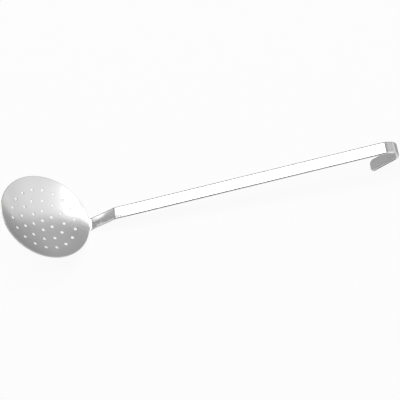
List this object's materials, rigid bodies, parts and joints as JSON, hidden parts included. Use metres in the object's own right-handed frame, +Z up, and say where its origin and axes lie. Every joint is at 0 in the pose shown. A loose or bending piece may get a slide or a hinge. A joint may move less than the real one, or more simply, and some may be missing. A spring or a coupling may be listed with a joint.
{
  "type": "skimmer",
  "caption": "Shallow round dish pierced with round holes, a short raised neck and a long flat strip handle that folds back into a hanging hook, all from one sheet.",
  "frame": {"origin": "centre of the bounding box's base, on the table that the skimmer lies on", "axes": "+X from the dish along the handle to the hook, +Z up from the table, +Y across the handle"},
  "size_m": [0.4912, 0.12, 0.0786],
  "materials": {
    "steel": "satin, with polished cut edges"
  },
  "bodies": {
    "root": {"skimmer": "steel"}
  },
  "joints": []
}
